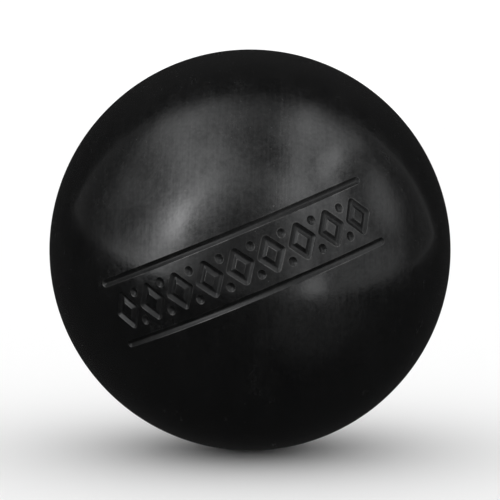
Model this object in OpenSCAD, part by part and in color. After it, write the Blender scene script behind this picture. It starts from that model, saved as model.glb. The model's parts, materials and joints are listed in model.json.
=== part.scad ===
// Black steel throwing ball for lawn games: two pressed half shells joined by one weld ring.
// The origin is the ball's centre, +Z is up, and the joint lies in the XZ plane.
// The engraved front shell faces -Y. Units are millimetres.

/* [Ball] */
// Outside diameter of the ball
ball_d = 74; // [70.5:0.5:80]
// Wall thickness of both half shells
wall_t = 6.15; // [5:0.05:8]

/* [Weld] */
// Gap between the root faces of the two shells, filled by the weld
root_gap = 1; // [0.6:0.1:1.6]
// Height of each root face above the cavity wall
root_face = 1.5; // [1:0.1:2.5]
// Angle of each bevel from the plane of the joint
bevel_angle = 30; // [20:1:40]
// How far the root bead stands into the cavity
root_crown = 0.8; // [0.4:0.1:1.2]
// Radius of the root bead's rounded back
root_bead_r = 1.3; // [1.2:0.1:2]

/* [Engraved band] */
// Tilt of the band from the horizontal, rising to the right
band_tilt = 22.5; // [0:0.5:45]
// Length of each border groove along the surface
band_l = 51.5; // [40:0.5:60]
// Distance between the two border grooves along the surface
band_w = 11.4; // [10.5:0.1:14]
// Width of every engraved line at the surface
cut_w = 1.3; // [1:0.1:1.6]
// Depth of all the engraving
engrave_t = 0.45; // [0.3:0.05:0.6]
// Extra cutter radius where a groove starts and stops
groove_end_extra = 0.1; // [0.05:0.05:0.2]

/* [Lozenges] */
// Number of lozenges in the row
lozenge_count = 9; // [5:2:9]
// Distance between the centres of two lozenges along the surface
lozenge_pitch = 5.7; // [5.5:0.1:6]
// Width of a lozenge over its cut
lozenge_w = 5; // [4.4:0.1:5.2]
// Height of a lozenge over its cut
lozenge_h = 6.6; // [5.6:0.1:7]
// Height above and below the row's middle line of the pips between two lozenges
pip_offset = 2.6; // [2.3:0.1:2.8]

/* [Hidden] */
$fn = 96;

ball_r = ball_d / 2;
cavity_r = ball_r - wall_t;
root_top_r = cavity_r + root_face;
past = 1; // how far a cutter runs past the surface it opens
degrees_per_mm = 180 / (PI * ball_r);

// The bevels meet the root faces at root_top_r and open towards the outside
outer_half_gap = root_gap / 2 + (ball_r + past - root_top_r) * tan(bevel_angle);

// A ball-nosed cutter of this radius leaves a groove cut_w wide and engrave_t deep
nose_r = (pow(cut_w / 2, 2) + pow(engrave_t, 2)) / (2 * engrave_t);
nose_centre_r = ball_r - engrave_t + nose_r;

// The corners that the cutter's middle passes around a lozenge, and the turn that its edges' normals make
lozenge_x = (lozenge_w - cut_w) / 2;
lozenge_y = (lozenge_h - cut_w) / 2;
lozenge_corners = [[lozenge_x, 0], [0, lozenge_y], [-lozenge_x, 0], [0, -lozenge_y]];
edge_turn = atan2(lozenge_x, lozenge_y);
corner_steps = 6;

// The raised middle that the cutter leaves is the same lozenge, drawn in by half the cut
island_scale = 1 - cut_w / 2 * norm([lozenge_x, lozenge_y]) / (lozenge_x * lozenge_y);

// Turns a shape built around +Z so that it faces -Y, the front
module face_front() {
    rotate([90, 0, 0]) children();
}

// Carries a shape from the front pole along the band by east mm and across it by north mm
module on_band(east, north) {
    rotate([0, 0, band_tilt])
        rotate([0, east * degrees_per_mm, 0])
            rotate([-north * degrees_per_mm, 0, 0])
                children();
}

// Ring of the weld preparation: the root gap below and the open V above, in the plane Z = 0
module weld_groove() {
    rotate_extrude()
        polygon([
            [cavity_r - past, -root_gap / 2],
            [root_top_r, -root_gap / 2],
            [ball_r + past, -outer_half_gap],
            [ball_r + past, outer_half_gap],
            [root_top_r, root_gap / 2],
            [cavity_r - past, root_gap / 2]
        ]);
}

// Half of the hollow ball on the +Z side, bevelled for the weld
module half_shell() {
    difference() {
        sphere(r = ball_r);
        sphere(r = cavity_r);
        weld_groove();
        translate([-ball_d, -ball_d, -2 * ball_d]) cube(2 * ball_d);
    }
}

// Straight-looking groove across the front at one height of the band, with rounded ends
module border_groove(north) {
    half_angle = band_l / 2 * degrees_per_mm;
    latitude = north * degrees_per_mm;
    rotate([0, 0, band_tilt])
        rotate([-90, 0, 0])
            rotate([0, 0, -90 - half_angle])
                rotate_extrude(angle = 2 * half_angle)
                    translate([nose_centre_r * cos(latitude), -nose_centre_r * sin(latitude)])
                        circle(r = nose_r, $fn = 48);
    for (east = [-band_l / 2, band_l / 2])
        on_band(east, north)
            translate([0, 0, nose_centre_r]) sphere(r = nose_r + groove_end_extra, $fn = 48);
}

// Round pip left by the same ball-nosed cutter
module pip(east, north) {
    on_band(east, north)
        translate([0, 0, nose_centre_r]) sphere(r = nose_r, $fn = 48);
}

// Outer edge of a lozenge's cut: its straight sides joined by the arcs of the round cutter
function lozenge_outline() = [
    for (i = [0 : 3])
        let (spread = i % 2 == 0 ? edge_turn : 90 - edge_turn)
            for (k = [0 : corner_steps])
                let (a = 90 * i - spread + 2 * spread * k / corner_steps)
                    lozenge_corners[i] + cut_w / 2 * [cos(a), sin(a)]
];

// Upright walls of one lozenge's cut, still without its floor
module lozenge_walls(east) {
    on_band(east, 0)
        translate([0, 0, ball_r - 3 * engrave_t])
            linear_extrude(3 * engrave_t + past)
                difference() {
                    polygon(lozenge_outline());
                    polygon(island_scale * lozenge_corners);
                }
}

// Everything that the engraving takes away from the front shell
module engraving() {
    for (north = [-band_w / 2, band_w / 2]) border_groove(north);
    difference() {
        for (i = [0 : lozenge_count - 1])
            lozenge_walls((i - (lozenge_count - 1) / 2) * lozenge_pitch);
        sphere(r = ball_r - engrave_t);
    }
    for (i = [1 : lozenge_count - 1])
        for (north = [-pip_offset, pip_offset])
            pip((i - lozenge_count / 2) * lozenge_pitch, north);
}

// Front half of the ball, with the engraved band
module front_shell() {
    color("#1d1d1f")
        face_front()
            difference() {
                half_shell();
                engraving();
            }
}

// Plain rear half of the ball
module rear_shell() {
    color("#2a2a2d")
        rotate([0, 0, 180])
            face_front()
                half_shell();
}

// Weld metal that fills the gap and the V, ground flush outside, with its root bead inside
module weld_ring() {
    color("#3a3a3e")
        face_front() {
            difference() {
                intersection() {
                    weld_groove();
                    sphere(r = ball_r);
                }
                sphere(r = cavity_r);
            }
            intersection() {
                rotate_extrude()
                    translate([cavity_r - root_crown + root_bead_r, 0]) circle(r = root_bead_r);
                sphere(r = cavity_r);
            }
        }
}

front_shell();
rear_shell();
weld_ring();
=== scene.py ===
# %% [markdown]
# # A black steel boule around its CAD frame
# The ball is a hollow one: two pressed half shells, joined by a ring of weld metal and ground to a true
# sphere. The CAD model holds those three solids. This script rebuilds each of them as a smooth,
# finely engraved mesh in the same place, gives it a blackened steel finish and sets up a small studio.

# %% Load the frame and the tools
import json
import math
import bmesh
import bpy
import numpy as np
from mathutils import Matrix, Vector
from mathutils.geometry import delaunay_2d_cdt
from mathutils.kdtree import KDTree


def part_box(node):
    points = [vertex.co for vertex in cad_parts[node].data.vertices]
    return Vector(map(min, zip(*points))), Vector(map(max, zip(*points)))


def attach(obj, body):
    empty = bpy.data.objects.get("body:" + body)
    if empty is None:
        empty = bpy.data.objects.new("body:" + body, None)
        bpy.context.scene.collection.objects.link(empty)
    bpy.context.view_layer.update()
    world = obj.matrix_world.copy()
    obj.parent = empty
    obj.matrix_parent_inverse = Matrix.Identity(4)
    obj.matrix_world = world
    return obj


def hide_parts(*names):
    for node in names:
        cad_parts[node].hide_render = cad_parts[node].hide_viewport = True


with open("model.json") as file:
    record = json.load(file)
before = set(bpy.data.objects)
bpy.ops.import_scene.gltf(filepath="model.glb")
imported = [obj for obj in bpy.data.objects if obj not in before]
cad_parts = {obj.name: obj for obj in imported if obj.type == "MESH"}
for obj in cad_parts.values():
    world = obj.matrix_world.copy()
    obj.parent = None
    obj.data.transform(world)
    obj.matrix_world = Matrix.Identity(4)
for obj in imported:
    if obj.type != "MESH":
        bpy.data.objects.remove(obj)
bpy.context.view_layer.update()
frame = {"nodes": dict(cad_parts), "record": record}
print("CAD nodes:", sorted(frame["nodes"]))

# %% [markdown]
# ## Sizes
# Everything is worked out from the ball's radius, which the record's mount states, and from the weld
# ring's own box. The rest are the shop's dimensions, in metres: the wall, the weld preparation, and
# the one cutter that engraves the whole band.

# %% Driving sizes
MM = 0.001
MICRON = 0.000001
mounts = {mount["name"]: mount for mount in frame["record"]["mounts"]}
ball_r = mounts["tube_fit"]["dims"]["r_mm"] * MM
wall = 6.15 * MM
root_face = 1.5 * MM
root_half_gap = 0.5 * MM
root_crown = 0.8 * MM
root_bead_r = 1.3 * MM
weld_low, weld_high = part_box("weld_ring")
weld_half = (weld_high.y - weld_low.y) / 2
cavity_r = ball_r - wall
root_top_r = cavity_r + root_face
print(f"ball {2 * ball_r / MM:.1f} mm, cavity {2 * cavity_r / MM:.1f} mm")
print(f"weld {2 * weld_half / MM:.2f} mm wide outside")

# %% Sizes of the engraved band
cut_width = 1.3 * MM
cut_depth = 0.43 * MM
band_tilt = math.radians(22.5)
border_length = 51.5 * MM
border_spacing = 11.4 * MM
lozenge_count = 9
lozenge_pitch = 5.7 * MM
lozenge_width = 5.0 * MM - cut_width
lozenge_height = 6.6 * MM - cut_width
pip_offset = 2.6 * MM
pip_dash = 0.3 * MM
path_step = 0.15 * MM
print(f"{lozenge_count} lozenges in a row of {lozenge_count * lozenge_pitch / MM:.1f} mm")

# %% [markdown]
# ## Building node trees in script
# Node trees read badly as long lists of links. One small class wraps a socket and overloads the
# arithmetic, so that `1 - mask * 0.5` adds its own Math nodes. A second class holds the tree and
# adds every other node by its type, its settings and its sockets. Both serve geometry and shading.

# %% Sockets as numbers
class Value:
    """An output socket that can be used in arithmetic."""

    def __init__(self, graph, socket):
        self.graph = graph
        self.socket = socket

    def side(self, name):
        """Another output of the same node."""
        return Value(self.graph, self.socket.node.outputs[name])

    def math(self, operation, *others):
        """Any operation of the Math node, with this value as its first input."""
        sockets = dict(enumerate((self, *others)))
        return self.graph.add("ShaderNodeMath", {"operation": operation}, sockets)

    def __add__(self, other):
        return self.math("ADD", other)

    def __radd__(self, other):
        return self.math("ADD", other)

    def __sub__(self, other):
        return self.math("SUBTRACT", other)

    def __rsub__(self, other):
        return self.graph.number(other).math("SUBTRACT", self)

    def __mul__(self, other):
        return self.math("MULTIPLY", other)

    def __rmul__(self, other):
        return self.math("MULTIPLY", other)

    def __truediv__(self, other):
        return self.math("DIVIDE", other)

    def __neg__(self):
        return self.math("MULTIPLY", -1.0)


# %% Trees that build themselves
class Graph:
    """A node tree that is filled by add()."""

    def __init__(self, tree):
        self.tree = tree

    def number(self, value):
        """A plain number as a Value."""
        constant = self.add("ShaderNodeValue")
        constant.socket.default_value = value
        return constant

    def add(self, kind, settings=None, sockets=None, output=0):
        """Adds one node: its settings first, then its sockets, and returns one of its outputs."""
        node = self.tree.nodes.new(kind)
        for name, value in (settings or {}).items():
            setattr(node, name, value)
        for name, value in (sockets or {}).items():
            if isinstance(value, Value):
                self.tree.links.new(value.socket, node.inputs[name])
            else:
                node.inputs[name].default_value = value
        return Value(self, node.outputs[output]) if node.outputs else node


# %% Geometry trees with named inputs
SOCKETS = {float: "NodeSocketFloat", int: "NodeSocketInt", bpy.types.Object: "NodeSocketObject"}


def geometry_graph(name, inputs):
    """A geometry node tree with one named input for each (name, type), and its Values by name."""
    tree = bpy.data.node_groups.new(name, "GeometryNodeTree")
    tree.interface.new_socket("Geometry", in_out="INPUT", socket_type="NodeSocketGeometry")
    for title, kind in inputs.items():
        tree.interface.new_socket(title, in_out="INPUT", socket_type=SOCKETS[kind])
    tree.interface.new_socket("Geometry", in_out="OUTPUT", socket_type="NodeSocketGeometry")
    graph = Graph(tree)
    start = graph.add("NodeGroupInput")
    return graph, {socket.name: Value(graph, socket) for socket in start.socket.node.outputs if socket.name}


def run_geometry(graph, result, source, values, material=None):
    """Ends the tree, runs it on the source object and returns what it makes as a plain mesh."""
    realised = graph.add("GeometryNodeRealizeInstances", {}, {"Geometry": result})
    finished = graph.add("GeometryNodeSetMaterial", {}, {"Geometry": realised, "Material": material})
    graph.add("NodeGroupOutput", {}, {"Geometry": finished})
    modifier = source.modifiers.new(graph.tree.name, "NODES")
    modifier.node_group = graph.tree
    for item in graph.tree.interface.items_tree:
        if item.in_out == "INPUT" and item.name in values:
            modifier[item.identifier] = values[item.name]
    evaluated = source.evaluated_get(bpy.context.evaluated_depsgraph_get())
    mesh = bpy.data.meshes.new_from_object(evaluated)
    source.modifiers.remove(modifier)
    return mesh


def new_object(name, mesh):
    """A new object at the origin, linked to the scene."""
    thing = bpy.data.objects.new(name, mesh)
    bpy.context.scene.collection.objects.link(thing)
    return thing


# %% [markdown]
# ## The cutter's path
# An engraved band is a path that one small cutter follows: around each lozenge, a short dash between
# two lozenges, and a long straight run above and below. It repeats by rule, so Geometry Nodes draw
# it: a kite curve and a dash are instanced on rows of points. The flat drawing is then bent onto the
# ball by reading x as a longitude and y as a latitude, turned by the band's tilt.

# %% Draw one row of instances
def row_of(graph, shape, count, pitch, height):
    """Instances of a curve along a row, centred on the band's middle and set at a height."""
    first = (count - 1) * pitch * -0.5
    start = graph.add("ShaderNodeCombineXYZ", {}, {"X": first, "Y": height})
    step = graph.add("ShaderNodeCombineXYZ", {}, {"X": pitch})
    points = graph.add(
        "GeometryNodeMeshLine", {}, {"Count": count, "Start Location": start, "Offset": step}
    )
    return graph.add("GeometryNodeInstanceOnPoints", {}, {"Points": points, "Instance": shape})


def straight(graph, length, sideways):
    """A straight curve through the origin, along x or along y."""
    axis = "X" if sideways else "Y"
    start = graph.add("ShaderNodeCombineXYZ", {}, {axis: length * -0.5})
    end = graph.add("ShaderNodeCombineXYZ", {}, {axis: length * 0.5})
    return graph.add("GeometryNodeCurvePrimitiveLine", {}, {"Start": start, "End": end})


def divided(graph, curve, cuts):
    """The curve with that many extra points on each straight stretch."""
    return graph.add("GeometryNodeSubdivideCurve", {}, {"Curve": curve, "Cuts": cuts})


# %% Bend the flat drawing onto the ball
def bend_onto_ball(graph, geometry, radius, tilt):
    """Moves a flat drawing onto the front of a sphere: x is a longitude and y a latitude."""
    place = graph.add("GeometryNodeInputPosition")
    flat = graph.add("ShaderNodeSeparateXYZ", {}, {"Vector": place})
    longitude = flat / radius
    latitude = flat.side("Y") / radius
    across = radius * latitude.math("COSINE") * longitude.math("SINE")
    up = radius * latitude.math("SINE")
    out = radius * latitude.math("COSINE") * longitude.math("COSINE")
    x = across * tilt.math("COSINE") - up * tilt.math("SINE")
    z = across * tilt.math("SINE") + up * tilt.math("COSINE")
    target = graph.add("ShaderNodeCombineXYZ", {}, {"X": x, "Y": -out, "Z": z})
    return graph.add("GeometryNodeSetPosition", {}, {"Geometry": geometry, "Position": target})


# %% Run the path tree
graph, given = geometry_graph("cutter_path", {
    "Ball Radius": float, "Band Tilt": float, "Lozenge Count": int, "Lozenge Pitch": float,
    "Lozenge Width": float, "Lozenge Height": float, "Pip Offset": float, "Pip Dash": float,
    "Border Length": float, "Border Spacing": float, "Step": float,
})
kite = graph.add("GeometryNodeCurvePrimitiveQuadrilateral", {"mode": "KITE"}, {
    "Width": given["Lozenge Width"],
    "Bottom Height": given["Lozenge Height"] * 0.5,
    "Top Height": given["Lozenge Height"] * 0.5,
})
half_width = given["Lozenge Width"] * 0.5
half_height = given["Lozenge Height"] * 0.5
side_length = (half_width * half_width + half_height * half_height).math("SQRT")
kite = divided(graph, kite, side_length / given["Step"])
dash = divided(graph, straight(graph, given["Pip Dash"], False), 1)
border = straight(graph, given["Border Length"], True)
border = divided(graph, border, given["Border Length"] / given["Step"])
pieces = [row_of(graph, kite, given["Lozenge Count"], given["Lozenge Pitch"], 0.0)]
for side in (-1, 1):
    pip_height = given["Pip Offset"] * side
    border_height = given["Border Spacing"] * (0.5 * side)
    pieces.append(row_of(graph, dash, given["Lozenge Count"] - 1, given["Lozenge Pitch"], pip_height))
    pieces.append(row_of(graph, border, 1, 0.0, border_height))
joined = graph.add("GeometryNodeJoinGeometry")
for piece in pieces:
    graph.tree.links.new(piece.socket, joined.socket.node.inputs[0])
drawing = graph.add("GeometryNodeRealizeInstances", {}, {"Geometry": joined})
drawing = graph.add("GeometryNodeCurveToMesh", {}, {"Curve": drawing})
drawing = bend_onto_ball(graph, drawing, given["Ball Radius"], given["Band Tilt"])
carrier = new_object("path_carrier", bpy.data.meshes.new("path_carrier"))
path_mesh = run_geometry(graph, drawing, carrier, {
    "Ball Radius": ball_r, "Band Tilt": band_tilt, "Lozenge Count": lozenge_count,
    "Lozenge Pitch": lozenge_pitch, "Lozenge Width": lozenge_width, "Lozenge Height": lozenge_height,
    "Pip Offset": pip_offset, "Pip Dash": pip_dash, "Border Length": border_length,
    "Border Spacing": border_spacing, "Step": path_step,
})
bpy.data.objects.remove(carrier)
print("cutter path:", len(path_mesh.vertices), "points,", len(path_mesh.edges), "edges")

# %% [markdown]
# ## The front shell's skin
# A boolean cut would leave ragged shading on a surface that mirrors its studio. Here the skin's points
# are laid where the engraving needs them: rows beside the path, closest at the cut's lip, and an even
# spiral of points everywhere else. A Delaunay triangulation joins them, and the engraving is pressed in
# afterwards by a rule that reads only the distance to the path.

# %% Rows from the middle of a cut to past its lip
cut_half = 0.72 * MM
trough_power = 1.4  # 1 would be a sharp V, and 2 a round-bottomed U
row_distances = np.array([0.13, 0.26, 0.39, 0.50, 0.60, 0.67, 0.72, 0.76, 0.88, 1.04]) * MM
start_points = np.array([path_mesh.vertices[edge.vertices[0]].co for edge in path_mesh.edges])
end_points = np.array([path_mesh.vertices[edge.vertices[1]].co for edge in path_mesh.edges])
runs = end_points - start_points


def point_tree(points):
    """A search tree over points."""
    tree = KDTree(len(points))
    for index, point in enumerate(points):
        tree.insert(point, index)
    tree.balance()
    return tree


path_tree = point_tree(np.concatenate([start_points, end_points]))
print(f"cuts {2 * cut_half / MM:.2f} mm wide, {len(row_distances)} rows on each side of the path")


def distance_to_path(points):
    """Distance from each point to the nearest point of the cutter's path."""
    return np.array([path_tree.find(point)[2] for point in points])


# %% Rows of points beside the path
def onto_ball(points):
    """Pushes points out or in to the ball's surface."""
    return points * (ball_r / np.linalg.norm(points, axis=1, keepdims=True))


def path_corners():
    """Points where the path ends or turns."""
    headings = runs / np.linalg.norm(runs, axis=1, keepdims=True)
    arriving = {tuple(np.round(point, 8)): heading for point, heading in zip(end_points, headings)}
    leaving = {tuple(np.round(point, 8)): heading for point, heading in zip(start_points, headings)}
    both = arriving.keys() & leaving.keys()
    turning = [key for key in both if arriving[key] @ leaving[key] < math.cos(math.radians(5))]
    ends = arriving.keys() ^ leaving.keys()
    return np.array(sorted([*turning, *ends]))


def row_beside_path(distance, corners):
    """Points at one distance from the path: along both sides, and around its corners and ends."""
    side = np.cross(runs, start_points)
    side *= distance / np.linalg.norm(side, axis=1, keepdims=True)
    candidates = [start_points + side, start_points - side]
    for turn in np.arange(0, 2 * math.pi, path_step / distance):
        east = np.cross(corners, (0, 0, 1))
        east /= np.linalg.norm(east, axis=1, keepdims=True)
        north = np.cross(east, corners / ball_r)
        candidates.append(corners + distance * (math.cos(turn) * east + math.sin(turn) * north))
    candidates = onto_ball(np.concatenate(candidates))
    return candidates[distance_to_path(candidates) > 0.99 * distance]


corners = path_corners()
rows = [row_beside_path(distance, corners) for distance in row_distances]
print(len(corners), "corners and ends")
print(sum(map(len, rows)), "points in", len(rows), "rows beside the path")

# %% Even points away from the path
segments = 360
golden_angle = math.pi * (3 - math.sqrt(5))


def spiral_points(spacing, nearest, furthest):
    """Evenly spread points on the front of the ball, kept between two distances from the path."""
    count = int(2 * math.pi * ball_r * (ball_r - weld_half) / (spacing ** 2 * math.sqrt(3) / 2))
    step = np.arange(count) + 0.5
    y = -ball_r + (ball_r - weld_half) * step / count
    radius = np.sqrt(ball_r ** 2 - y ** 2)
    turn = golden_angle * step
    points = np.stack([radius * np.cos(turn), y, radius * np.sin(turn)], axis=1)
    points = points[y < -weld_half - 0.4 * spacing]
    distance = distance_to_path(points)
    return points[(distance > nearest) & (distance <= furthest)]


def ring_points(radius, y):
    """One ring of points about the Y axis."""
    angle = np.arange(segments) * 2 * math.pi / segments
    return np.stack([radius * np.cos(angle), np.full(segments, y), radius * np.sin(angle)], axis=1)


rim_radius = math.sqrt(ball_r ** 2 - weld_half ** 2)
pole = np.array([[0.0, -ball_r, 0.0]])
fine = spiral_points(0.33 * MM, 1.2 * MM, 2.4 * MM)
coarse = spiral_points(0.8 * MM, 2.4 * MM, math.inf)
print(len(fine), "fine and", len(coarse), "coarse points")

# %% Triangulate the skin
def without_doubles(points, gap):
    """The points, less each one that lies closer than the gap to an earlier one."""
    tree = point_tree(points)
    kept = np.ones(len(points), bool)
    for index, point in enumerate(points):
        if kept[index]:
            for _, other, _ in tree.find_range(point, gap):
                kept[other] &= other <= index
    return points[kept]


def skin_triangles(points):
    """Triangles between points on the front of the ball, joined on a flat disc about its pole."""
    angle = np.arccos(np.clip(-points[:, 1] / ball_r, -1, 1))
    flat = np.stack([points[:, 0], points[:, 2]], axis=1)
    flat *= (angle / np.maximum(np.linalg.norm(flat, axis=1), 1e-12))[:, None]
    result = delaunay_2d_cdt([Vector(place) for place in flat], [], [], 0, 1e-9)
    faces, sources = result[2:4]
    return [[sources[corner][0] for corner in face] for face in faces]


rim = ring_points(rim_radius, -weld_half)
closest = 0.35 * path_step
skin = without_doubles(np.concatenate([rim, pole, start_points, end_points, *rows]), closest)
skin = np.concatenate([skin, fine, coarse])
triangles = skin_triangles(skin)
print("front skin:", len(skin), "points,", len(triangles), "triangles")

# %% [markdown]
# ## Turned surfaces
# The rest of the shells and the weld ring are surfaces of revolution about the joint's axis. A profile
# is a list of (radius, y) points; turning it gives clean rings of quads, and a point on the axis
# becomes one closed pole. The three pieces share the ring count, so their rims meet point to point.

# %% Turn a profile about the Y axis
def turned(profile, loop=False):
    """Points and faces of a profile turned about the Y axis. A loop joins its last point to its first."""
    points = []
    rings = []
    for radius, y in profile:
        first = len(points)
        if radius < 1e-9:
            points.append((0.0, y, 0.0))
            rings.append([first] * segments)
        else:
            points.extend(ring_points(radius, y))
            rings.append(list(range(first, first + segments)))
    faces = []
    for low, high in zip(rings, rings[1:] + rings[:1] if loop else rings[1:]):
        for here in range(segments):
            after = (here + 1) % segments
            corners = dict.fromkeys((low[here], low[after], high[after], high[here]))
            faces.append(list(corners))
    return np.array(points), faces


def arc_profile(radius, start_y, end_y, steps, centre=0.0):
    """Profile points along a circle from one y to another, at even angles about its centre's radius."""
    angles = np.linspace(math.asin(start_y / radius), math.asin(end_y / radius), steps + 1)
    return [(centre + radius * math.cos(angle), radius * math.sin(angle)) for angle in angles]


def piece_mesh(name, parts):
    """One mesh from several (points, faces) parts, joined where they meet, with its faces outwards."""
    shape = bmesh.new()
    for points, faces in parts:
        corners = [shape.verts.new(point) for point in points]
        for face in faces:
            shape.faces.new([corners[index] for index in face])
    bmesh.ops.remove_doubles(shape, verts=shape.verts, dist=1e-7)
    loose = [corner for corner in shape.verts if not corner.link_faces]
    bmesh.ops.delete(shape, geom=loose, context="VERTS")
    bmesh.ops.recalc_face_normals(shape, faces=shape.faces)
    open_edges = sum(not edge.is_manifold for edge in shape.edges)
    mesh = bpy.data.meshes.new(name)
    shape.to_mesh(mesh)
    shape.free()
    print(f"{name}: {len(mesh.polygons)} faces, {open_edges} open edges")
    return mesh


# %% The two shells' profiles
def inside_profile(side):
    """From the rim down the bevel and the root face, then along the cavity to its pole."""
    cavity_steps = 36
    cavity = arc_profile(cavity_r, side * root_half_gap, side * cavity_r, cavity_steps)
    cavity[-1] = (0.0, side * cavity_r)
    return [(rim_radius, side * weld_half), (root_top_r, side * root_half_gap), *cavity]


outside_steps = 72
outside = arc_profile(ball_r, weld_half, ball_r, outside_steps)
outside[-1] = (0.0, ball_r)
rear_profile = [*reversed(outside), *inside_profile(1)[1:]]
front_blank = piece_mesh("front_blank", [(skin, triangles), turned(inside_profile(-1))])
rear_blank = piece_mesh("rear_blank", [turned(rear_profile)])

# %% The weld ring's profile
bead_centre = cavity_r - root_crown + root_bead_r
bead_edge_radius = (cavity_r ** 2 - root_bead_r ** 2 + bead_centre ** 2) / (2 * bead_centre)
bead_edge = math.sqrt(cavity_r ** 2 - bead_edge_radius ** 2)
cap = arc_profile(ball_r, -weld_half, weld_half, 10)
bead = [
    (2 * bead_centre - radius, y)
    for radius, y in arc_profile(root_bead_r, bead_edge, -bead_edge, 10, bead_centre)
]
root_foot_r = math.sqrt(cavity_r ** 2 - root_half_gap ** 2)
weld_profile = [
    *cap,
    (root_top_r, root_half_gap),
    (root_foot_r, root_half_gap),
    *bead,
    (root_foot_r, -root_half_gap),
    (root_top_r, -root_half_gap),
]
weld_blank = piece_mesh("weld_blank", [turned(weld_profile, loop=True)])

# %% [markdown]
# ## Blackened steel
# The finish is a thin black oxide on bare steel, waxed and buffed: nearly black, metallic, with a satin
# gloss. What makes it steel and not paint is small: fine polishing lines that run round one axis,
# cloudy buffing marks that change the gloss, hairline scratches, and a few specks. The wax is the
# shader's coat, and it hardly reaches into the cuts, which stay duller. Their colour is also darkened as
# painted shade, and their lips are lightened, partly as wear and partly as a painted glint. Every
# pattern is read from object coordinates in metres, so it sits still on the ball from every side.

# %% Patterns shared by the finishes
def new_material(name):
    """An empty material with its output node, and its graph."""
    material = bpy.data.materials.new(name)
    material.use_nodes = True
    material.node_tree.nodes.clear()
    return material, Graph(material.node_tree)


def stretched(graph, place, scale, turn=(0.0, 0.0, 0.0)):
    """Object coordinates, turned and scaled per axis."""
    return graph.add("ShaderNodeMapping", {}, {"Vector": place, "Rotation": turn, "Scale": scale})


def noise(graph, place, scale=1.0, detail=2.0, rough=0.5, distortion=0.0):
    """Noise between about 0.2 and 0.8."""
    return graph.add("ShaderNodeTexNoise", {}, {
        "Vector": place, "Scale": scale, "Detail": detail, "Roughness": rough, "Distortion": distortion,
    })


def ramp(graph, value, low, high, start=0.0, end=1.0):
    """A smooth step of a value from one level to another."""
    return graph.add("ShaderNodeMapRange", {"interpolation_type": "SMOOTHSTEP"}, {
        "Value": value, "From Min": low, "From Max": high, "To Min": start, "To Max": end,
    })


def hairlines(graph, place, turn, length, spacing, share):
    """Fine straight scratches that run one way, each a short stroke, on a share of the surface."""
    strokes = stretched(graph, place, (1 / spacing, 1 / length, 1 / length), turn)
    cells = graph.add("ShaderNodeTexVoronoi", {"feature": "F1"}, {"Vector": strokes, "Randomness": 1.0})
    chosen = graph.add("ShaderNodeSeparateColor", {}, {"Color": cells.side("Color")})
    return ramp(graph, cells, 0.02, 0.16, 1.0, 0.0) * ramp(graph, chosen, 1 - share, 1.02 - share)


def flecks(graph, place, scale, share):
    """Small ragged flecks: the peaks of a fine noise. A larger share shows more of them."""
    return ramp(graph, noise(graph, place, scale, 2.0, 0.7), 0.76 - share, 0.79 - share)


def mixed(graph, factor, first, second):
    """Two colours mixed by a factor."""
    sockets = {0: factor, 6: first, 7: second}
    return graph.add("ShaderNodeMix", {"data_type": "RGBA"}, sockets, output=2)


def grey(level, warmth=0.0):
    """A nearly neutral colour."""
    return (level * (1 + warmth), level, level * (1 - warmth), 1.0)


# %% The marks on the steel
def soft_marks(graph, place):
    """Polishing lines, broader bands, cloudy buffing, smudges and grain, each between 0 and 1."""
    lines = noise(graph, stretched(graph, place, (3000.0, 70.0, 70.0)), 1.0, 2.0, 0.6)
    bands = noise(graph, stretched(graph, place, (420.0, 60.0, 60.0)), 1.0, 3.0, 0.55)
    clouds = noise(graph, place, 60.0, 4.0, 0.55, 0.3)
    smudges = noise(graph, stretched(graph, place, (300.0, 150.0, 150.0)), 1.0, 4.0, 0.6, 0.4)
    grain = noise(graph, place, 1300.0, 4.0, 0.7)
    return lines, bands, clouds, smudges, grain


def sharp_marks(graph, place, clouds):
    """Scratches that run two ways, dust that gathers with the clouds, and pits. Each is 0 or near 1."""
    one_way = hairlines(graph, place, (0.2, 0.5, 0.6), 9.0 * MM, 0.5 * MM, 0.02)
    another_way = hairlines(graph, place, (0.9, -0.4, -0.5), 7.0 * MM, 0.4 * MM, 0.02)
    scratches = one_way.math("MAXIMUM", another_way)
    dust = flecks(graph, place, 2300.0, 0.05) * ramp(graph, clouds, 0.35, 0.6)
    pits = flecks(graph, place, 700.0, 0.02)
    return scratches, dust, pits


def scaled_inside(graph, place, clouds, grain):
    """A factor that is 1 inside the wall, and the colour of the scale that covers the cavity."""
    reach = graph.add("ShaderNodeVectorMath", {"operation": "LENGTH"}, {0: place}, output="Value")
    inside = ramp(graph, reach, ball_r - 1.0 * MM, ball_r - 0.7 * MM, 1.0, 0.0)
    patches = ramp(graph, clouds + (grain - 0.5), 0.3, 0.7)
    return inside, mixed(graph, patches, grey(0.07, 0.1), grey(0.16, 0.2))


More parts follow.
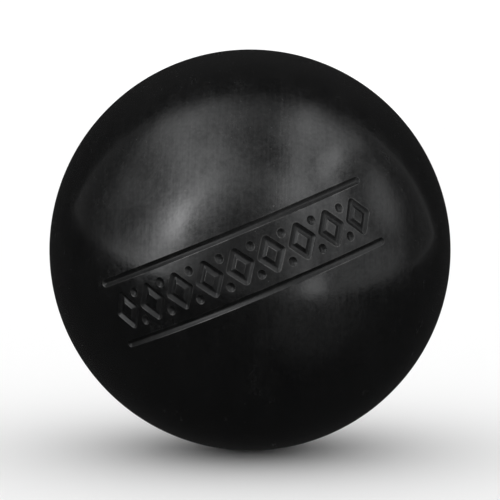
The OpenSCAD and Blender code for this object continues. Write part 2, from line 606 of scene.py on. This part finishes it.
# %% The finish itself
def blackened_steel(name, tone=1.0, gloss_shift=0.0, engraved=False):
    """Black oxide on polished steel: tone lightens it, gloss_shift dulls it, engraved adds the cuts."""
    material, graph = new_material(name)
    place = graph.add("ShaderNodeTexCoord", output="Object")
    lines, bands, clouds, smudges, grain = soft_marks(graph, place)
    scratches, dust, pits = sharp_marks(graph, place, clouds)
    rough = 0.20 + gloss_shift + (clouds - 0.5) * 0.20 + (smudges - 0.5) * 0.24
    rough = rough + (lines - 0.5) * 0.10 + (grain - 0.5) * 0.20 + scratches * 0.08 + dust * 0.3
    # Lighter steel: scratches, dust and pits are wear; along the cuts' lips it is partly wear and partly a
    # painted glint.
    wear_and_glint = scratches * 0.14 + dust * 0.24 + pits * 0.16
    height = lines * 4.0 + bands * 24.0 + grain * 24.0 + clouds * 60.0 - scratches * 4.0 - pits * 12.0
    shade = 0.4 + (smudges - 0.5) * 1.1 + (lines - 0.5) * 0.8 + (grain - 0.5) * 2.0
    coat = 0.35
    if engraved:
        cut = graph.add("ShaderNodeAttribute", {"attribute_name": "cut"}, output="Fac")
        lip = graph.add("ShaderNodeAttribute", {"attribute_name": "lip"}, output="Fac")
        in_cut = ramp(graph, cut, 0.02, 0.2)
        rough = rough + in_cut * (0.26 + (grain - 0.5) * 0.3)
        # Inside the cuts the colour is darkened: painted shade in the recesses.
        shade = shade - in_cut * 0.4
        coat = coat - in_cut * 0.25
        # Along the cuts' lips the colour is lightened: partly wear, partly a painted glint.
        wear_and_glint = wear_and_glint + in_cut * grain * 0.03 + lip * ramp(graph, smudges, 0.42, 0.62) * 0.2
        height = height + in_cut * grain * 6.0
    shade = shade.math("MINIMUM", 1.0).math("MAXIMUM", 0.0)
    body = mixed(graph, shade, grey(0.036 * tone, -0.02), grey(0.068 * tone, -0.01))
    colour = mixed(graph, wear_and_glint.math("MINIMUM", 1.0), body, grey(0.30, 0.02))
    inside, scale_colour = scaled_inside(graph, place, clouds, grain)
    colour = mixed(graph, inside, colour, scale_colour)
    rough = rough + inside * (0.35 + (clouds - 0.5) * 0.4)
    bump = graph.add("ShaderNodeBump", {}, {"Strength": 1.0, "Distance": MICRON, "Height": height})
    shader = graph.add("ShaderNodeBsdfPrincipled", {}, {
        "Base Color": colour, "Metallic": 0.92, "Roughness": rough, "Normal": bump,
        "Coat Weight": coat, "Coat Roughness": 0.1,
    })
    graph.add("ShaderNodeOutputMaterial", {}, {"Surface": shader})
    return material


shell_finish = blackened_steel("blackened_steel_shell", engraved=True)
weld_finish = blackened_steel("blackened_steel_weld", tone=1.12, gloss_shift=0.03)
print("finishes:", shell_finish.name, weld_finish.name)

# %% [markdown]
# ## Press in the engraving
# The cutter has a small round nose, so every cut is a narrow trough with crisp lips. The rule is short:
# the nearer a point lies to the path, the deeper it goes. A field in Geometry Nodes measures that
# distance and moves the point towards the ball's centre. The upper wall of a cut then faces the
# darkness below, and the lower wall faces the light. Two attributes, `cut` and `lip`, are kept for the
# finish.

# %% Engrave the front shell
graph, given = geometry_graph("engrave", {
    "Cutter Path": bpy.types.Object, "Depth": float, "Half Width": float, "Lip Width": float,
})
path_shape = graph.add("GeometryNodeObjectInfo", {}, {"Object": given["Cutter Path"]}, output="Geometry")
place = graph.add("GeometryNodeInputPosition")
distance = graph.add("GeometryNodeProximity", {"target_element": "EDGES"}, {
    0: path_shape,
}, output="Distance")
across = distance / given["Half Width"]
cut = (1 - across.math("POWER", trough_power)).math("MAXIMUM", 0.0)
lip = 1 - ((distance - given["Half Width"]) / given["Lip Width"]).math("ABSOLUTE")
outwards = graph.add("ShaderNodeVectorMath", {"operation": "NORMALIZE"}, {0: place})
inwards = -(cut * given["Depth"])
sunk = graph.add("ShaderNodeVectorMath", {"operation": "SCALE"}, {0: outwards, "Scale": inwards})
shape = graph.add("GeometryNodeStoreNamedAttribute", {"data_type": "FLOAT"}, {
    "Geometry": given["Geometry"], "Name": "cut", "Value": cut,
})
shape = graph.add("GeometryNodeStoreNamedAttribute", {"data_type": "FLOAT"}, {
    "Geometry": shape, "Name": "lip", "Value": lip.math("MAXIMUM", 0.0),
})
shape = graph.add("GeometryNodeSetPosition", {}, {"Geometry": shape, "Offset": sunk})
path_object = new_object("cutter_path", path_mesh)
blank = new_object("front_blank", front_blank)
front_mesh = run_geometry(graph, shape, blank, {
    "Cutter Path": path_object, "Depth": cut_depth, "Half Width": cut_half, "Lip Width": 0.16 * MM,
}, shell_finish)
for helper in (blank, path_object):
    bpy.data.objects.remove(helper)
depths = ball_r - np.array([corner.co.length for corner in front_mesh.vertices])
print(f"engraved {np.max(depths[depths < 1 * MM]) / MM:.2f} mm deep")

# %% [markdown]
# ## The weld's root bead
# Inside the ball, where no grinder reaches, the root bead keeps the ripples of the moving weld pool. They
# repeat round the ring, so a second field lifts them: a sine of the angle, bent back towards the
# bead's edges as the pool's tail is. Outside, the weld is ground flush and stays smooth.

# %% Ripple the root bead
graph, given = geometry_graph("root_ripples", {
    "Ripple Count": int, "Ripple Height": float, "Cavity Radius": float, "Bead Half Width": float,
})
place = graph.add("GeometryNodeInputPosition")
parts = graph.add("ShaderNodeSeparateXYZ", {}, {"Vector": place})
length = graph.add("ShaderNodeVectorMath", {"operation": "LENGTH"}, {0: place}, output="Value")
on_bead = ramp(graph, given["Cavity Radius"] - length, 0.05 * MM, 0.5 * MM)
angle = parts.side("Z").math("ARCTAN2", parts)
lag = parts.side("Y") / given["Bead Half Width"]
wave = (angle * given["Ripple Count"] - lag * lag * 2.0).math("SINE") * given["Ripple Height"] * on_bead
inwards = graph.add("ShaderNodeVectorMath", {"operation": "MULTIPLY"}, {0: place, 1: (-1.0, 0.0, -1.0)})
inwards = graph.add("ShaderNodeVectorMath", {"operation": "NORMALIZE"}, {0: inwards})
lifted = graph.add("ShaderNodeVectorMath", {"operation": "SCALE"}, {0: inwards, "Scale": wave})
shape = graph.add("GeometryNodeSetPosition", {}, {"Geometry": given["Geometry"], "Offset": lifted})
blank = new_object("weld_blank", weld_blank)
weld_mesh = run_geometry(graph, shape, blank, {
    "Ripple Count": 90, "Ripple Height": 0.12 * MM, "Cavity Radius": cavity_r, "Bead Half Width": bead_edge,
}, weld_finish)
bpy.data.objects.remove(blank)
rear_blank.materials.append(shell_finish)
crown = cavity_r - min(math.hypot(corner.co.x, corner.co.z) for corner in weld_mesh.vertices)
print(f"root bead stands {crown / MM:.2f} mm into the cavity at its highest ripple")

# %% [markdown]
# ## Exact normals
# A glossy ball shows every error of its shading. Averaged normals are slightly off where large
# triangles meet small ones, so each corner that lies on the true sphere gets the sphere's own normal.
# The other corners keep the averaged ones, with hard edges where a bevel or root face begins.

# %% Give the outside its true normals
def finish_surface(mesh):
    """Smooth shading, hard edges, and the sphere's normal wherever the surface is the sphere."""
    mesh.shade_smooth()
    mesh.set_sharp_from_angle(angle=math.radians(45))
    normals = np.empty(len(mesh.loops) * 3)
    mesh.corner_normals.foreach_get("vector", normals)
    normals = normals.reshape(-1, 3)
    places = np.empty(len(mesh.vertices) * 3)
    mesh.vertices.foreach_get("co", places)
    places = places.reshape(-1, 3)
    reach = np.linalg.norm(places, axis=1)
    corner_point = np.empty(len(mesh.loops), int)
    mesh.loops.foreach_get("vertex_index", corner_point)
    sizes = np.empty(len(mesh.polygons), int)
    mesh.polygons.foreach_get("loop_total", sizes)
    face_reach = np.add.reduceat(reach[corner_point], np.cumsum(sizes) - sizes) / sizes
    on_skin = np.repeat(face_reach > ball_r - 1.5 * cut_depth, sizes)
    on_sphere = on_skin & (reach[corner_point] > ball_r - 1e-7)
    exact = places[corner_point] / reach[corner_point, None]
    normals[on_sphere] = exact[on_sphere]
    mesh.normals_split_custom_set(normals)
    return int(on_sphere.sum())


front_shell = new_object("front_shell_steel", front_mesh)
rear_shell = new_object("rear_shell_steel", rear_blank)
weld_ring = new_object("weld_ring_steel", weld_mesh)
for piece in (front_shell, rear_shell, weld_ring):
    exact_corners = finish_surface(piece.data)
    print(piece.name, len(piece.data.loop_triangles), "triangles,", exact_corners, "exact corners")

# %% Join each piece to the frame
for piece, node, slot in (
    (front_shell, "front_shell", "black_steel"),
    (rear_shell, "rear_shell", "black_steel"),
    (weld_ring, "weld_ring", "weld_metal"),
):
    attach(piece, "root")
    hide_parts(node)
    print(piece.name, "replaces", node, "in slot", slot)

# %% [markdown]
# ## The studio
# A polished black ball shows nothing but what it reflects, so the light is the picture. The ball sits in
# a cloth light tent: a pale ceiling and side walls, soft bright sheets left and right of the camera,
# and darkness below and behind. Lamps would give hard round highlights, so the tent is painted by
# direction in the world's shader instead. The floor is plain and pale, and is kept out of the
# reflections, as a black card under the ball would do.

# %% Camera
def direction(azimuth, elevation):
    """The direction at an azimuth from the front and an elevation, both in radians."""
    level = math.cos(elevation)
    return Vector((math.sin(azimuth) * level, -math.cos(azimuth) * level, math.sin(elevation)))


camera_azimuth = math.radians(2.5)
camera_elevation = math.radians(4.4)
camera_distance = 0.4
ball_share = 0.8025
to_camera = direction(camera_azimuth, camera_elevation)
camera_data = bpy.data.cameras.new("camera")
camera = bpy.data.objects.new("camera", camera_data)
bpy.context.scene.collection.objects.link(camera)
camera.location = to_camera * camera_distance
camera.rotation_mode = "QUATERNION"
camera.rotation_quaternion = (-to_camera).to_track_quat("-Z", "Y")
edge_slope = ball_r / math.sqrt(camera_distance ** 2 - ball_r ** 2)
camera_data.sensor_width = 36.0
camera_data.lens = camera_data.sensor_width / 2 * ball_share / edge_slope
camera_data.clip_start = 0.01
bpy.context.scene.camera = camera
print(f"camera lens {camera_data.lens:.1f} mm")

# %% Floor
floor_half = 3.0
floor_mesh = bpy.data.meshes.new("floor")
floor_corners = [(x * floor_half, y * floor_half, -ball_r) for x, y in ((-1, -1), (1, -1), (1, 1), (-1, 1))]
floor_mesh.from_pydata(floor_corners, [], [(0, 1, 2, 3)])
floor = new_object("floor", floor_mesh)
floor_paint, graph = new_material("pale_floor")
shader = graph.add("ShaderNodeBsdfDiffuse", {}, {"Color": (0.9, 0.9, 0.9, 1.0)})
graph.add("ShaderNodeOutputMaterial", {}, {"Surface": shader})
floor_mesh.materials.append(floor_paint)
floor.visible_glossy = False
print(f"floor at {-ball_r / MM:.1f} mm")

# %% Directions in the light tent
world = bpy.data.worlds.new("light_tent")
bpy.context.scene.world = world
world.use_nodes = True
world.node_tree.nodes.clear()
world.cycles.sampling_method = "NONE"
graph = Graph(world.node_tree)
heading = graph.add("ShaderNodeTexCoord", output="Generated")
for axis, angle in (("Z_AXIS", -camera_azimuth), ("X_AXIS", camera_elevation)):
    heading = graph.add("ShaderNodeVectorRotate", {"rotation_type": axis}, {
        "Vector": heading, "Angle": angle,
    })
folds = graph.add("ShaderNodeTexNoise", {}, {
    "Vector": heading, "Scale": 4.0, "Detail": 5.0, "Roughness": 0.65,
}, output="Color")
folds = graph.add("ShaderNodeVectorMath", {"operation": "SUBTRACT"}, {0: folds, 1: (0.5, 0.5, 0.5)})
folds = graph.add("ShaderNodeVectorMath", {"operation": "SCALE"}, {0: folds, "Scale": 0.2})
hung = graph.add("ShaderNodeVectorMath", {"operation": "ADD"}, {0: heading, 1: folds})
right = graph.add("ShaderNodeSeparateXYZ", {}, {"Vector": heading})
away = right.side("Y")
up = right.side("Z")
cloth = noise(graph, heading, 5.0, 4.0, 0.6, 0.3)


# %% Shapes of light
def oval(azimuth, elevation, width, height, lean=0):
    """How far a direction is from an oval's centre, where 1 is its edge. Half sizes are in degrees."""
    heading_angle = math.radians(azimuth)
    turn = math.radians(lean)
    centre = direction(heading_angle, math.radians(elevation))
    side = Vector((math.cos(heading_angle), math.sin(heading_angle), 0.0))
    top = side.cross(centre) * -1
    wide = (side * math.cos(turn) - top * math.sin(turn)) / math.sin(math.radians(width))
    tall = (top * math.cos(turn) + side * math.sin(turn)) / math.sin(math.radians(height))
    across, along, facing = (
        graph.add("ShaderNodeVectorMath", {"operation": "DOT_PRODUCT"}, {0: hung, 1: axis}, output="Value")
        for axis in (wide, tall, centre)
    )
    return (across * across + along * along).math("SQRT") + facing.math("LESS_THAN", 0.0) * 9


def panel(azimuth, elevation, width, height, lean, soft, brightness):
    """One soft sheet of light."""
    reach = oval(azimuth, elevation, width, height, lean)
    return ramp(graph, reach, 1 - soft, 1 + soft, brightness, 0.0)


def hoop(azimuth, elevation, inner, outer, soft, brightness):
    """A round band of light, such as cloth lit around a darker opening."""
    reach = oval(azimuth, elevation, outer, outer)
    share = math.sin(math.radians(inner)) / math.sin(math.radians(outer))
    inner_edge = ramp(graph, reach, share - soft, share + soft)
    return inner_edge * ramp(graph, reach, 1 - soft, 1 + soft, brightness, 0.0)


# %% Where the cloth begins and ends
floor_line = up - (away * 0.38 - right * 0.1 - 0.09)
back_line = 0.656 - up * 0.52 - away
walls = ramp(graph, floor_line, -0.03, 0.05) * ramp(graph, back_line, -0.02, 0.02)
depth_of_tent = ramp(graph, away, -0.1, 0.25, 1.0, 0.1)
seam = ramp(graph, floor_line.math("MINIMUM", back_line).math("ABSOLUTE"), 0.0, 0.04, 0.3, 0.0)
seam = seam * ramp(graph, away, 0.1, 0.35)
seam = seam * ramp(graph, right, -0.3, 0.4, 0.3, 0.65) * (0.5 + cloth)
print("nodes for the cloth's shape:", len(world.node_tree.nodes))

# %% Light the tent
# Each sheet's azimuth, elevation, half width, half height and lean, then its softness and brightness.
sheets = {
    "left sheet": (-41, 15, 8, 22, 28, 0.8, 1.3),
    "fold in the left sheet": (-41, 16, 4, 13, 32, 0.7, 1.7),
    "far left cloth": (-74, 26, 14, 12, 0, 0.7, 0.25),
    "upper left cloth": (-22, 42, 13, 18, 0, 0.7, 0.35),
    "ceiling in front": (6, 36, 22, 10, 0, 0.7, 0.22),
    "right sheet": (29, 12, 9, 34, 0, 0.6, 0.55),
    "fold in the right sheet": (23, 32, 5, 13, 35, 0.7, 0.7),
    "slanting fold": (60, 43, 3, 12, 60, 0.7, 1.1),
    "fold near the ceiling": (63, 62, 3, 18, 54, 0.7, 0.35),
    "low reflector": (38, -19, 7, 6, 0, 0.6, 1.3),
    "far right cloth": (88, 20, 12, 12, 0, 0.6, 0.6),
    "shadow on the ceiling": (2, 60, 14, 9, 0, 0.15, -0.07),
}
tent = 0.20 + ramp(graph, up, 0.3, 0.8) * 0.08
tent = tent + hoop(-84, 24, 26, 51, 0.25, 1.15)
tent = tent + hoop(84, 24, 22, 49, 0.09, 0.80) * ramp(graph, up, -0.1, 0.5, 0.3, 1.0)
for sheet in sheets.values():
    tent = tent + panel(*sheet)
table_glow = panel(42, -34, 26, 20, 0, 0.7, 0.11)
darkness = 0.018 + ramp(graph, up, 0.2, 0.9) * 0.022
light = darkness + walls * depth_of_tent * tent * (0.5 + cloth) + seam + table_glow
print(len(sheets), "sheets of light")

# %% Light the floor evenly, and show the tent only in reflections
daylight = 1.12
rays = graph.add("ShaderNodeLightPath", output="Is Glossy Ray")
strength = rays * light + (1 - rays) * daylight
backdrop = graph.add("ShaderNodeBackground", {}, {"Color": (1.0, 1.0, 1.0, 1.0), "Strength": strength})
graph.add("ShaderNodeOutputWorld", {}, {"Surface": backdrop})

bpy.context.scene.view_settings.view_transform = "Standard"
print("world nodes:", len(world.node_tree.nodes))
